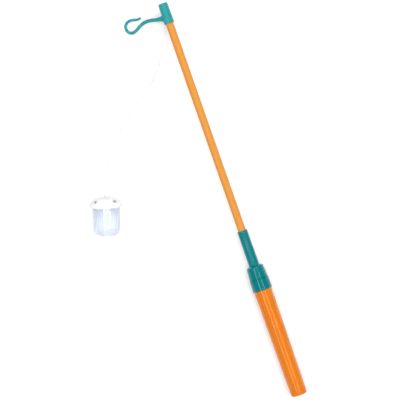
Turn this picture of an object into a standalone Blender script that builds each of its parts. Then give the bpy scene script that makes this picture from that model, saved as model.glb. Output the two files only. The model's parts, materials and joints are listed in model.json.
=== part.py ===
"""A child's lantern stick with a battery light, lying on a table.

The stick runs along +Y from its battery handle to its hooked tip cap, and it rests on the
handle's end, on its switch ring and on the loop of its hook. A thin lead comes up inside the
stick, leaves under the tip cap and runs over the table to a small lamp, which lies on its side.

The origin is on the table, in the middle of the box that the stick and the lamp fill.
Every turned piece has its own Z along the axis that it turns on.
"""

import math

import bmesh
import bpy
from mathutils import Matrix, Vector

# Everything is in metres.
GAP = 0.0003
SEGMENTS = 40
SMALL_SEGMENTS = 20
WIRE_SEGMENTS = 8
CORNER_STEPS = 3
LENS_STEPS = 4
FOOT_STEPS = 7
DOME_STEPS = 9
CUTTER_OVERLAP = 0.0010

# The origin's place: the stick's axis lies this far to the right of it and starts this far back.
STICK_X = 0.0715
STICK_Y = -0.2276

# An AA cell, the size that the handle is built around.
CELL_RADIUS = 0.00725
CELL_LENGTH = 0.0505
CELL_TIP_RADIUS = 0.00275
CELL_TIP_HEIGHT = 0.0012
CELL_EDGE = 0.0004

# The stick's outside, as heights from the handle's closed end and radii there.
HANDLE_END_RADIUS = 0.0090
HANDLE_TOP_RADIUS = 0.01005
HANDLE_CORNER = 0.0010
RING_BOTTOM = 0.1227
RING_BOTTOM_RADIUS = 0.0110
RING_TOP = 0.1353
RING_TOP_RADIUS = 0.0107
SKIRT_BOTTOM_RADIUS = 0.01035
SHOULDER_BOTTOM = 0.1482
SHOULDER_BOTTOM_RADIUS = 0.00945
SHOULDER_EDGE = 0.1493
SHOULDER_EDGE_RADIUS = 0.00895
SHOULDER_TOP = 0.1507
NECK_BOTTOM_RADIUS = 0.00590
NECK_TOP = 0.1912
NECK_TOP_RADIUS = 0.00555
TUBE_RADIUS = 0.0044
TUBE_WALL = 0.0009
CAP_BOTTOM = 0.4322
CAP_BOTTOM_RADIUS = 0.0056
CAP_TOP = 0.4552
CAP_TOP_RADIUS = 0.0053
CAP_EDGE = 0.0005

# The stick's inside.
HANDLE_FLOOR = 0.0020
CELL_BOTTOM = 0.0090
HANDLE_BORE = 0.0081
SPIGOT_RADIUS = 0.0092
SPIGOT_TOP = 0.1330
RING_NECK_RADIUS = 0.0086
RING_NECK_TOP = 0.1423
RING_NECK_BORE = 0.0076
SKIRT_BORE = 0.0089
SKIRT_BORE_TOP = 0.1430
CARRIER_RADIUS = 0.0072
CARRIER_TOP = 0.1479
CARRIER_BORE = 0.0020
CARRIER_CLEARANCE = 0.0020
RIVET_BORE = 0.0014
RIVET_BORE_DEPTH = 0.0057
RIVET_HEAD_RADIUS = 0.0030
RIVET_STEM_DEPTH = 0.0042
BAND_BOTTOM = 0.1240
BAND_TOP = 0.1300
BAND_THICKNESS = 0.0003
BAND_SPLIT = math.radians(60)
TUBE_SEAT = 0.1520
TUBE_BOTTOM = TUBE_SEAT + GAP
TUBE_TOP = 0.4480
PLATE_THICKNESS = 0.0004
STRIP_THICKNESS = 0.00025
STRIP_WIDTH = 0.0024
STRIP_TOP = 0.1325
SPRING_HEIGHT = 0.0057
SPRING_TURNS = 3
SPRING_WIRE = 0.0004
SPRING_FOOT_RADIUS = 0.0050
SPRING_HEAD_RADIUS = 0.0027

# The hook, as its reach over the table from the stick's axis, its distance below the top of the
# cap, and its thickness there. It is a little deeper than it is thick.
HOOK_DEPTH_RATIO = 1.05
HOOK_LOOP_REACH = 0.0470
HOOK_LOOP_DROP = 0.0126
HOOK_LOOP_THICKNESS = 0.0033
HOOK_ROUTE = [
    (0.0030, 0.0156, 0.0066),
    (0.0077, 0.0149, 0.0057),
    (0.0130, 0.0138, 0.0043),
    (0.0189, 0.0123, 0.0040),
    (0.0240, 0.0118, 0.0039),
    (0.0280, 0.0126, 0.0037),
    (0.0318, 0.0141, 0.0036),
    (0.0355, 0.0161, 0.0035),
    (0.0390, 0.0176, 0.0035),
    (0.0426, 0.0177, 0.0034),
    (0.0455, 0.0158, 0.0034),
    (HOOK_LOOP_REACH, HOOK_LOOP_DROP, HOOK_LOOP_THICKNESS),
    (0.0469, 0.0088, 0.0032),
    (0.0447, 0.0057, 0.0031),
    (0.0412, 0.0042, 0.0030),
    (0.0374, 0.0045, 0.0030),
    (0.0338, 0.0056, 0.0029),
    (0.0308, 0.0060, 0.0028),
    (0.0288, 0.0057, 0.0026),
]
HOOK_STEPS = 3
HOOK_SIDES = 12
HOOK_END_ROUNDING = 0.25
HOOK_END_RATIO = 0.7

# The lead, and the notch under the cap where it comes out.
LEAD_RADIUS = 0.0010
NOTCH_WIDTH = 0.0029
NOTCH_TOP = 0.4356
SLOT_BOTTOM = 0.4303
SLOT_TOP = 0.4354
INNER_LEAD_ROUTE = [
    (0.0000, 0.4150),
    (0.0002, 0.4220),
    (0.0008, 0.4275),
    (0.0021, 0.4315),
    (0.0039, 0.4334),
    (0.0055, 0.4331),
    (0.0063, 0.4319),
]
LAMP_CORD_ROUTE = [
    (0.0651, 0.2038, 0.01425),
    (0.0646, 0.2015, 0.01385),
    (0.0606, 0.1931, 0.01180),
    (0.0543, 0.1812, 0.00820),
    (0.0445, 0.1660, 0.00410),
    (0.0306, 0.1510, 0.00150),
    (0.0117, 0.1370, 0.00110),
    (-0.0071, 0.1230, 0.00115),
    (-0.0248, 0.1078, 0.00190),
    (-0.0393, 0.0900, 0.00540),
    (-0.0486, 0.0724, 0.01280),
    (-0.0538, 0.0603, 0.01840),
    (-0.0564, 0.0519, 0.01940),
    (-0.0576, 0.0481, 0.01889),
    (-0.0589, 0.0438, 0.01842),
]
LEAD_STEP = 0.0050

# The lamp, as distances along its axis from the top of its cap and radii there. It lies on the
# rim of its cap and on the round foot of its globe.
LAMP_TOP_X = -0.0576
LAMP_TOP_Y = 0.0481
LAMP_HEADING = math.radians(17)
DOME_HEIGHT = 0.0092
DOME_FLATNESS = 2.6
DOME_FALL = 2.0
LAMP_CAP_RADIUS = 0.0178
LAMP_CAP_LENGTH = 0.0113
LAMP_CAP_WALL = 0.0012
LAMP_CAP_HOLE = 0.0013
WINDOW_COUNT = 4
WINDOW_TURN = math.radians(45)
WINDOW_DISTANCE = 0.0044
WINDOW_WIDTH = 0.0054
WINDOW_HEIGHT = 0.0024
GLOBE_RADIUS = 0.01535
GLOBE_WALL = 0.0012
GLOBE_RIM = 0.0079
GLOBE_LENGTH = 0.0439
GLOBE_CORNER = 0.0100
BEAD_RADIUS = 0.0159
BEAD_BOTTOM = 0.0088
BEAD_TOP = 0.0098
HOLDER_TOP = 0.0018
HOLDER_LENGTH = 0.0102
HOLDER_RADIUS = 0.0045
HOLDER_BORE = 0.0014
LED_RADIUS = 0.0025
LED_FLANGE_RADIUS = 0.0029
LED_FLANGE_HEIGHT = 0.0010
LED_HEIGHT = 0.0086
LED_LEAD_RADIUS = 0.00025
LED_LEAD_OFFSET = 0.000635
LED_LEAD_TOP = 0.0053

# The stick tips up towards the hook, so that both its handle's end and its ring touch the table.
STICK_TILT = math.atan2(
    RING_BOTTOM_RADIUS - HANDLE_END_RADIUS, RING_BOTTOM - HANDLE_CORNER
)
STICK_Z = HANDLE_END_RADIUS * math.cos(STICK_TILT) - HANDLE_CORNER * math.sin(STICK_TILT)
LOOP_HEIGHT = STICK_Z + (CAP_TOP - HOOK_LOOP_DROP) * math.sin(STICK_TILT)
# The cap is turned about the stick's axis until the hook's loop touches the table.
HOOK_ROLL = math.atan2(
    LOOP_HEIGHT - HOOK_DEPTH_RATIO * HOOK_LOOP_THICKNESS / 2, HOOK_LOOP_REACH
)
# The lamp's axis dips from its wide cap to its narrower globe.
REST_LENGTH = GLOBE_LENGTH - GLOBE_CORNER - LAMP_CAP_LENGTH
REST_STEP = LAMP_CAP_RADIUS - (GLOBE_RADIUS - GLOBE_CORNER)
LAMP_TILT = math.acos(GLOBE_CORNER / math.hypot(REST_LENGTH, REST_STEP)) - math.atan2(
    REST_LENGTH, REST_STEP
)
LAMP_TOP_Z = LAMP_CAP_LENGTH * math.sin(LAMP_TILT) + LAMP_CAP_RADIUS * math.cos(LAMP_TILT)

MATERIALS = {
    "teal_plastic": ((0.006, 0.262, 0.273, 1.0), 0.22, 0.0),
    "orange_tube": ((0.830, 0.290, 0.050, 1.0), 0.24, 0.0),
    "orange_handle": ((0.830, 0.220, 0.015, 1.0), 0.24, 0.0),
    "white_plastic": ((0.860, 0.870, 0.870, 1.0), 0.30, 0.0),
    "clear_plastic": ((0.800, 0.830, 0.900, 1.0), 0.08, 0.0),
    "white_lead": ((0.820, 0.820, 0.810, 1.0), 0.45, 0.0),
    "black_plastic": ((0.030, 0.030, 0.032, 1.0), 0.40, 0.0),
    "cell_jacket": ((0.060, 0.110, 0.220, 1.0), 0.30, 0.0),
    "nickel": ((0.620, 0.600, 0.560, 1.0), 0.25, 1.0),
    "brass": ((0.720, 0.520, 0.220, 1.0), 0.28, 1.0),
    "led_lens": ((0.900, 0.880, 0.780, 1.0), 0.10, 0.0),
}


# ---------------------------------------------------------------- helpers


def material(name):
    """The material of this name, made the first time it is asked for."""
    found = bpy.data.materials.get(name)
    if found:
        return found
    colour, roughness, metallic = MATERIALS[name]
    made = bpy.data.materials.new(name)
    made.use_nodes = True
    shader = made.node_tree.nodes["Principled BSDF"]
    shader.inputs["Base Color"].default_value = colour
    shader.inputs["Roughness"].default_value = roughness
    shader.inputs["Metallic"].default_value = metallic
    made.diffuse_color = colour
    return made


def axis_empty(name, matrix, parent=None):
    """An empty whose Z is the axis that the pieces under it are turned on."""
    empty = bpy.data.objects.new(name, None)
    bpy.context.scene.collection.objects.link(empty)
    empty.parent = parent
    empty.matrix_local = matrix
    return empty


def add_piece(name, data, finish, parent):
    """Links one named sub-part under its axis and gives it its material."""
    data.materials.append(material(finish))
    piece = bpy.data.objects.new(name, data)
    bpy.context.scene.collection.objects.link(piece)
    piece.parent = parent
    return piece


def mesh_from(bm, name, smooth=True):
    """A mesh from a finished bmesh, with its faces pointing out and its hard edges kept."""
    bmesh.ops.recalc_face_normals(bm, faces=bm.faces)
    mesh = bpy.data.meshes.new(name)
    bm.to_mesh(mesh)
    bm.free()
    if smooth:
        mesh.shade_smooth()
        mesh.set_sharp_from_angle(angle=math.radians(35))
    return mesh


def turned(name, outline, finish, parent, segments=SEGMENTS):
    """A solid of revolution from a closed outline of (radius, height) points."""
    bm = bmesh.new()
    points = [bm.verts.new((radius, 0, height)) for radius, height in outline]
    edges = [
        bm.edges.new((points[i], points[(i + 1) % len(points)])) for i in range(len(points))
    ]
    bmesh.ops.spin(
        bm,
        geom=points + edges,
        cent=(0, 0, 0),
        axis=(0, 0, 1),
        angle=2 * math.pi,
        steps=segments,
        use_merge=True,
        use_duplicate=False,
    )
    bmesh.ops.remove_doubles(bm, verts=bm.verts, dist=1e-6)
    bmesh.ops.dissolve_degenerate(bm, edges=bm.edges, dist=1e-6)
    return add_piece(name, mesh_from(bm, name), finish, parent)


def box(name, low, high, finish, parent):
    """A plain block between two corners."""
    bm = bmesh.new()
    bmesh.ops.create_cube(bm, size=1.0)
    size = Vector(high) - Vector(low)
    bmesh.ops.scale(bm, vec=size, verts=bm.verts)
    bmesh.ops.translate(bm, vec=(Vector(high) + Vector(low)) / 2, verts=bm.verts)
    return add_piece(name, mesh_from(bm, name, smooth=False), finish, parent)


def as_tool(piece):
    """Marks a shape that only cuts or joins another piece."""
    piece.hide_render = True
    piece.display_type = "WIRE"
    return piece


def combine(piece, tool, operation):
    """Cuts the tool out of a piece, or joins it on."""
    modifier = piece.modifiers.new(tool.name, "BOOLEAN")
    modifier.operation = operation
    modifier.object = as_tool(tool)
    modifier.solver = "EXACT"


def arc(centre_radius, centre_height, radius, start, end, count):
    """Points (radius, height) on a round stretch of an outline, angles in degrees."""
    angles = [math.radians(start + (end - start) * i / count) for i in range(count + 1)]
    return [
        (centre_radius + radius * math.cos(a), centre_height + radius * math.sin(a))
        for a in angles
    ]


def smooth_route(points, steps):
    """A Catmull-Rom curve through every point, with this many steps between two of them."""
    route = [Vector(point) for point in points]
    route = [2 * route[0] - route[1], *route, 2 * route[-1] - route[-2]]
    curve = []
    for before, start, end, after in zip(route, route[1:], route[2:], route[3:]):
        for i in range(steps):
            t = i / steps
            curve.append(
                0.5
                * (
                    2 * start
                    + (end - before) * t
                    + (2 * before - 5 * start + 4 * end - after) * t**2
                    + (3 * start - before - 3 * end + after) * t**3
                )
            )
    curve.append(route[-2])
    return curve


def evenly_spaced(curve, step):
    """Points on a curve at one even spacing, close to the step asked for."""
    lengths = [0.0]
    for start, end in zip(curve, curve[1:]):
        lengths.append(lengths[-1] + (end - start).length)
    count = max(2, round(lengths[-1] / step))
    spaced = []
    i = 0
    for k in range(count + 1):
        target = lengths[-1] * k / count
        while i < len(curve) - 2 and lengths[i + 1] < target:
            i += 1
        share = (target - lengths[i]) / (lengths[i + 1] - lengths[i])
        spaced.append(curve[i].lerp(curve[i + 1], min(1.0, share)))
    return spaced


def round_wire(name, points, radius, resolution, finish, parent):
    """A round lead or wire: a curve with a bevel and filled ends."""
    curve = bpy.data.curves.new(name, "CURVE")
    curve.dimensions = "3D"
    curve.bevel_depth = radius
    curve.bevel_resolution = resolution
    curve.use_fill_caps = True
    spline = curve.splines.new("POLY")
    spline.points.add(len(points) - 1)
    for point, place in zip(spline.points, points):
        point.co = (*place, 1.0)
    spline.use_smooth = True
    return add_piece(name, curve, finish, parent)


# ---------------------------------------------------------------- the stick's axes


def stick_axis():
    """The stick's axis: Z from the handle's end to the tip, Y down to the table."""
    tilt = Matrix.Rotation(STICK_TILT, 4, "X")
    along = Matrix.Rotation(-math.pi / 2, 4, "X")
    place = Matrix.Translation((STICK_X, STICK_Y, STICK_Z))
    return axis_empty("stick_axis", place @ tilt @ along)


def tip_axis(parent):
    """The same axis, turned so that X points the way the hook does."""
    return axis_empty("tip_axis", Matrix.Rotation(math.pi - HOOK_ROLL, 4, "Z"), parent)


def lamp_axis():
    """The lamp's axis: Z from the top of its cap to the foot of its globe, Y up."""
    heading = Matrix.Rotation(-LAMP_HEADING, 4, "Z")
    dip = Matrix.Rotation(LAMP_TILT, 4, "X")
    along = Matrix.Rotation(math.pi / 2, 4, "X")
    place = Matrix.Translation((LAMP_TOP_X, LAMP_TOP_Y, LAMP_TOP_Z))
    return axis_empty("lamp_axis", place @ heading @ dip @ along)


# ---------------------------------------------------------------- handle and cells


def handle_shell(axis):
    corner_centre = HANDLE_END_RADIUS - HANDLE_CORNER
    corner = arc(corner_centre, HANDLE_CORNER, HANDLE_CORNER, -90, 0, CORNER_STEPS)
    outline = [
        (0, 0),
        *corner,
        (HANDLE_TOP_RADIUS, RING_BOTTOM - GAP),
        (SPIGOT_RADIUS, RING_BOTTOM - GAP),
        (SPIGOT_RADIUS, SPIGOT_TOP),
        (HANDLE_BORE, SPIGOT_TOP),
        (HANDLE_BORE, HANDLE_FLOOR),
        (0, HANDLE_FLOOR),
    ]
    turned("handle_shell", outline, "orange_handle", axis)


def spring_plate(axis):
    bottom = HANDLE_FLOOR + GAP
    outline = [
        (0, bottom),
        (CARRIER_RADIUS, bottom),
        (CARRIER_RADIUS, bottom + PLATE_THICKNESS),
        (0, bottom + PLATE_THICKNESS),
    ]
    turned("spring_plate", outline, "nickel", axis)


def negative_spring(axis):
    """A conical coil, widest on its plate and narrowest under the cell."""
    foot = HANDLE_FLOOR + 2 * GAP + PLATE_THICKNESS + SPRING_WIRE
    rise = SPRING_HEIGHT - 2 * SPRING_WIRE
    steps = SPRING_TURNS * SMALL_SEGMENTS
    points = []
    for i in range(steps + 1):
        share = i / steps
        turn = 2 * math.pi * SPRING_TURNS * share
        radius = SPRING_FOOT_RADIUS + (SPRING_HEAD_RADIUS - SPRING_FOOT_RADIUS) * share
        points.append((radius * math.cos(turn), radius * math.sin(turn), foot + rise * share))
    round_wire("negative_spring", points, SPRING_WIRE, 1, "nickel", axis)


def cell(name, bottom, axis):
    """An AA cell: its jacketed can, and the button on its positive end."""
    tip_bottom = bottom + CELL_LENGTH - CELL_TIP_HEIGHT
    can_top = tip_bottom - GAP
    can = [
        (0, bottom),
        (CELL_RADIUS - CELL_EDGE, bottom),
        (CELL_RADIUS, bottom + CELL_EDGE),
        (CELL_RADIUS, can_top - CELL_EDGE),
        (CELL_RADIUS - CELL_EDGE, can_top),
        (0, can_top),
    ]
    button = [
        (0, tip_bottom),
        (CELL_TIP_RADIUS, tip_bottom),
        (CELL_TIP_RADIUS, bottom + CELL_LENGTH),
        (0, bottom + CELL_LENGTH),
    ]
    turned(name, can, "cell_jacket", axis)
    turned(name + "_button", button, "nickel", axis, SMALL_SEGMENTS)
    return bottom + CELL_LENGTH


def contact_strip(axis):
    """The return path: a flat strip up the handle's wall, from the spring plate to the band."""
    inner = CARRIER_RADIUS + GAP
    low = (inner, -STRIP_WIDTH / 2, HANDLE_FLOOR + GAP)
    high = (inner + STRIP_THICKNESS, STRIP_WIDTH / 2, STRIP_TOP)
    box("contact_strip", low, high, "brass", axis)


# ---------------------------------------------------------------- switch ring and socket


def switch_ring(axis):
    outline = [
        (SPIGOT_RADIUS + GAP, RING_BOTTOM),
        (RING_BOTTOM_RADIUS, RING_BOTTOM),
        (RING_TOP_RADIUS, RING_TOP),
        (RING_NECK_RADIUS, RING_TOP),
        (RING_NECK_RADIUS, RING_NECK_TOP),
        (RING_NECK_BORE, RING_NECK_TOP),
        (RING_NECK_BORE, SPIGOT_TOP + GAP),
        (SPIGOT_RADIUS + GAP, SPIGOT_TOP + GAP),
    ]
    turned("switch_ring", outline, "teal_plastic", axis)


def socket(axis):
    skirt_bottom = RING_TOP + GAP
    carrier_seat = CARRIER_TOP + GAP
    outline = [
        (SKIRT_BORE, skirt_bottom),
        (SKIRT_BOTTOM_RADIUS, skirt_bottom),
        (SHOULDER_BOTTOM_RADIUS, SHOULDER_BOTTOM),
        (SHOULDER_EDGE_RADIUS, SHOULDER_EDGE),
        (NECK_BOTTOM_RADIUS, SHOULDER_TOP),
        (NECK_TOP_RADIUS, NECK_TOP),
        (TUBE_RADIUS + GAP, NECK_TOP),
        (TUBE_RADIUS + GAP, TUBE_SEAT),
        (CARRIER_BORE, TUBE_SEAT),
        (CARRIER_BORE, carrier_seat),
        (CARRIER_RADIUS + GAP, carrier_seat),
        (CARRIER_RADIUS + GAP, SKIRT_BORE_TOP),
        (SKIRT_BORE, SKIRT_BORE_TOP),
    ]
    turned("socket", outline, "teal_plastic", axis)


def contact_carrier(axis, bottom):
    """The plug that reaches down into the handle and carries both contacts."""
    groove = CARRIER_RADIUS - BAND_THICKNESS - GAP
    outline = [
        (RIVET_BORE, bottom),
        (CARRIER_RADIUS, bottom),
        (CARRIER_RADIUS, BAND_BOTTOM - GAP),
        (groove, BAND_BOTTOM - GAP),
        (groove, BAND_TOP + GAP),
        (CARRIER_RADIUS, BAND_TOP + GAP),
        (CARRIER_RADIUS, CARRIER_TOP),
        (CARRIER_BORE, CARRIER_TOP),
        (CARRIER_BORE, bottom + RIVET_BORE_DEPTH),
        (RIVET_BORE, bottom + RIVET_BORE_DEPTH),
    ]
    turned("contact_carrier", outline, "black_plastic", axis)


def ring_contact(axis):
    """A split band on the carrier, which the strip leaves when the ring is turned to off."""
    inner = CARRIER_RADIUS - BAND_THICKNESS
    outline = [
        (inner, BAND_BOTTOM),
        (CARRIER_RADIUS, BAND_BOTTOM),
        (CARRIER_RADIUS, BAND_TOP),
        (inner, BAND_TOP),
    ]
    band = turned("ring_contact", outline, "brass", axis)
    half_split = CARRIER_RADIUS * math.sin(BAND_SPLIT / 2)
    low = (0, -half_split, BAND_BOTTOM - CUTTER_OVERLAP)
    high = (CARRIER_RADIUS + CUTTER_OVERLAP, half_split, BAND_TOP + CUTTER_OVERLAP)
    combine(band, box("band_split_cutter", low, high, "brass", axis), "DIFFERENCE")


def positive_contact(axis, bottom, carrier_bottom):
    """A rivet: its head meets the upper cell, and its stem runs up into the carrier."""
    stem = RIVET_BORE - GAP
    stem_top = carrier_bottom + RIVET_STEM_DEPTH
    outline = [
        (0, bottom),
        (RIVET_HEAD_RADIUS, bottom),
        (RIVET_HEAD_RADIUS, carrier_bottom - GAP),
        (stem, carrier_bottom - GAP),
        (stem, stem_top),
        (0, stem_top),
    ]
    turned("positive_contact", outline, "brass", axis, SMALL_SEGMENTS)
    return stem_top


def stick_tube(axis, tip):
    outline = [
        (TUBE_RADIUS - TUBE_WALL, TUBE_BOTTOM),
        (TUBE_RADIUS, TUBE_BOTTOM),
        (TUBE_RADIUS, TUBE_TOP),
        (TUBE_RADIUS - TUBE_WALL, TUBE_TOP),
    ]
    tube = turned("stick_tube", outline, "orange_tube", axis)
    low = (0, -NOTCH_WIDTH / 2, SLOT_BOTTOM)
    high = (2 * TUBE_RADIUS, NOTCH_WIDTH / 2, SLOT_TOP)
    combine(tube, box("tube_slot_cutter", low, high, "orange_tube", tip), "DIFFERENCE")


# ---------------------------------------------------------------- tip cap and hook


def hook_arm(tip):
    """The hook: an oval section swept along its route in one plane through the stick's axis."""
    route = smooth_route(
        [
            (reach / math.cos(HOOK_ROLL), CAP_TOP - drop, thickness)
            for reach, drop, thickness in HOOK_ROUTE
        ],
        HOOK_STEPS,
    )
    bm = bmesh.new()
    rings = []
    for i, here in enumerate(route):
        ahead = route[min(i + 1, len(route) - 1)]
        behind = route[max(i - 1, 0)]
        along = Vector((ahead.x - behind.x, 0, ahead.y - behind.y)).normalized()
        across = Vector((along.z, 0, -along.x))
        rings.append(oval(bm, Vector((here.x, 0, here.y)), across, here.z / 2))
    end = route[-1]
    end_place = Vector((end.x, 0, end.y)) + along * (HOOK_END_ROUNDING * end.z)
    rings.append(oval(bm, end_place, across, HOOK_END_RATIO * end.z / 2))
    for first, second in zip(rings, rings[1:]):
        for k in range(HOOK_SIDES):
            after = (k + 1) % HOOK_SIDES
            bm.faces.new((first[k], first[after], second[after], second[k]))
    bm.faces.new(rings[0])
    bm.faces.new(rings[-1])
    return add_piece("hook_arm", mesh_from(bm, "hook_arm"), "teal_plastic", tip)


def oval(bm, centre, across, half_thickness):
    """One ring of the hook's section; the plane's own normal is Y."""
    ring = []
    for k in range(HOOK_SIDES):
        turn = 2 * math.pi * k / HOOK_SIDES
        side = across * (half_thickness * math.cos(turn))
        deep = Vector((0, HOOK_DEPTH_RATIO * half_thickness * math.sin(turn), 0))
        ring.append(bm.verts.new(centre + side + deep))
    return ring


def tip_hook_cap(tip):
    bore = TUBE_RADIUS + GAP
    outline = [
        (bore, CAP_BOTTOM),
        (CAP_BOTTOM_RADIUS, CAP_BOTTOM),
        (CAP_TOP_RADIUS, CAP_TOP - CAP_EDGE),
        (CAP_TOP_RADIUS - CAP_EDGE, CAP_TOP),
        (0, CAP_TOP),
        (0, TUBE_TOP + GAP),
        (bore, TUBE_TOP + GAP),
    ]
    cap = turned("tip_hook_cap", outline, "teal_plastic", tip)
    combine(cap, hook_arm(tip), "UNION")
    cutter_bottom = CAP_BOTTOM - CUTTER_OVERLAP
    bore_cutter = [
        (0, cutter_bottom),
        (bore, cutter_bottom),
        (bore, TUBE_TOP + GAP),
        (0, TUBE_TOP + GAP),
    ]
    combine(cap, turned("cap_bore_cutter", bore_cutter, "teal_plastic", tip), "DIFFERENCE")
    low = (0, -NOTCH_WIDTH / 2, cutter_bottom)
    high = (2 * CAP_BOTTOM_RADIUS, NOTCH_WIDTH / 2, NOTCH_TOP)
    combine(cap, box("cap_notch_cutter", low, high, "teal_plastic", tip), "DIFFERENCE")


# ---------------------------------------------------------------- leads


def inner_lead(tip, bottom):
    """The lead inside the stick, from the carrier to the notch under the tip cap."""
    bend = smooth_route([(x, 0, z) for x, z in INNER_LEAD_ROUTE], 3)
    points = [Vector((0, 0, bottom + GAP)), *bend]
    round_wire("inner_lead", points, LEAD_RADIUS, 2, "white_lead", tip)


def lamp_cord():
    """The free cord from the notch to the lamp, lying on the table between them."""
    points = evenly_spaced(smooth_route(LAMP_CORD_ROUTE, 16), LEAD_STEP)
    round_wire("lamp_cord", points, LEAD_RADIUS, 2, "white_lead", None)


# ---------------------------------------------------------------- lamp


def dome(radius, height, start, inner_edge, count):
    """Points (radius, distance) down a dome that is flat on top and falls away at its side."""
    points = []
    for i in range(count + 1):
        share = i / count
        reach = inner_edge / radius + (1 - inner_edge / radius) * math.sin(share * math.pi / 2)
        fall = (1 - reach**DOME_FLATNESS) ** (1 / DOME_FALL)
        points.append((radius * reach, start + height * (1 - fall)))
    return points


def lamp_cap(axis):
    outer = dome(LAMP_CAP_RADIUS, DOME_HEIGHT, 0, LAMP_CAP_HOLE, DOME_STEPS)
    inner = dome(
        LAMP_CAP_RADIUS - LAMP_CAP_WALL,
        DOME_HEIGHT - LAMP_CAP_WALL,
        LAMP_CAP_WALL,
        LAMP_CAP_HOLE,
        DOME_STEPS,
    )
    outline = [
        *outer,
        (LAMP_CAP_RADIUS, LAMP_CAP_LENGTH),
        (LAMP_CAP_RADIUS - LAMP_CAP_WALL, LAMP_CAP_LENGTH),
        *reversed(inner),
    ]
    cap = turned("lamp_cap", outline, "white_plastic", axis)
    for i in range(WINDOW_COUNT):
        turn = math.pi / 2 + WINDOW_TURN + i * 2 * math.pi / WINDOW_COUNT
        low = (
            LAMP_CAP_RADIUS / 2,
            -WINDOW_WIDTH / 2,
            WINDOW_DISTANCE - WINDOW_HEIGHT / 2,
        )
        high = (
            LAMP_CAP_RADIUS + CUTTER_OVERLAP,
            WINDOW_WIDTH / 2,
            WINDOW_DISTANCE + WINDOW_HEIGHT / 2,
        )
        cutter = box(f"window_cutter_{i + 1}", low, high, "white_plastic", axis)
        cutter.rotation_euler.z = turn
        combine(cap, cutter, "DIFFERENCE")


def lamp_holder(axis):
    bottom = HOLDER_TOP + HOLDER_LENGTH
    outline = [
        (HOLDER_BORE, HOLDER_TOP),
        (HOLDER_RADIUS, HOLDER_TOP),
        (HOLDER_RADIUS, bottom),
        (HOLDER_BORE, bottom),
    ]
    turned("lamp_holder", outline, "white_plastic", axis, SMALL_SEGMENTS)
    return bottom


def led(axis, top):
    """A round LED: its flange against the holder, and its domed lens below."""
    flange = top + LED_FLANGE_HEIGHT
    dome_start = top + LED_HEIGHT - LED_RADIUS
    outline = [
        (0, top),
        (LED_FLANGE_RADIUS, top),
        (LED_FLANGE_RADIUS, flange),
        (LED_RADIUS, flange),
        *arc(0, dome_start, LED_RADIUS, 0, 90, LENS_STEPS),
    ]
    turned("led", outline, "led_lens", axis, SMALL_SEGMENTS)


def led_lead(name, offset, bottom, axis):
    outline = [
        (0, LED_LEAD_TOP),
        (LED_LEAD_RADIUS, LED_LEAD_TOP),
        (LED_LEAD_RADIUS, bottom),
        (0, bottom),
    ]
    piece = turned(name, outline, "nickel", axis, WIRE_SEGMENTS)
    piece.location.x = offset


def lamp_globe(axis):
    foot = GLOBE_LENGTH - GLOBE_CORNER
    centre = GLOBE_RADIUS - GLOBE_CORNER
    inner = GLOBE_RADIUS - GLOBE_WALL
    outline = [
        (inner, GLOBE_RIM),
        (GLOBE_RADIUS, GLOBE_RIM),
        (GLOBE_RADIUS, BEAD_BOTTOM),
        (BEAD_RADIUS, BEAD_BOTTOM),
        (BEAD_RADIUS, BEAD_TOP),
        (GLOBE_RADIUS, BEAD_TOP),
        *arc(centre, foot, GLOBE_CORNER, 0, 90, FOOT_STEPS),
        (0, GLOBE_LENGTH),
        (0, GLOBE_LENGTH - GLOBE_WALL),
        *arc(centre, foot, GLOBE_CORNER - GLOBE_WALL, 90, 0, FOOT_STEPS),
    ]
    turned("lamp_globe", outline, "clear_plastic", axis)


# ---------------------------------------------------------------- assembly


def build():
    for old in list(bpy.data.objects):
        bpy.data.objects.remove(old, do_unlink=True)

    stick = stick_axis()
    tip = tip_axis(stick)
    lamp = lamp_axis()

    handle_shell(stick)
    spring_plate(stick)
    negative_spring(stick)
    lower_end = cell("cell_lower", CELL_BOTTOM, stick)
    upper_end = cell("cell_upper", lower_end + GAP, stick)
    contact_strip(stick)

    switch_ring(stick)
    socket(stick)
    carrier_bottom = upper_end + CARRIER_CLEARANCE
    contact_carrier(stick, carrier_bottom)
    ring_contact(stick)
    stem_top = positive_contact(stick, upper_end + GAP, carrier_bottom)

    stick_tube(stick, tip)
    tip_hook_cap(tip)
    inner_lead(tip, stem_top)
    lamp_cord()

    lamp_cap(lamp)
    holder_bottom = lamp_holder(lamp)
    led(lamp, holder_bottom + GAP)
    led_lead("led_anode_lead", LED_LEAD_OFFSET, holder_bottom, lamp)
    led_lead("led_cathode_lead", -LED_LEAD_OFFSET, holder_bottom, lamp)
    lamp_globe(lamp)


build()
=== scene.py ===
"""The looks of a child's lantern stick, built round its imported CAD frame.

Every CAD node that shows is replaced by a finer piece of the same size in the same place. Sizes
are read from the CAD nodes along two axes: the stick's, from the handle's end to the tip, and the
lamp's, from the top of its cap to the foot of its globe. Each piece's place is in its mesh.
"""

import json
import math

import bmesh
import bpy
from mathutils import Matrix, Vector


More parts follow.
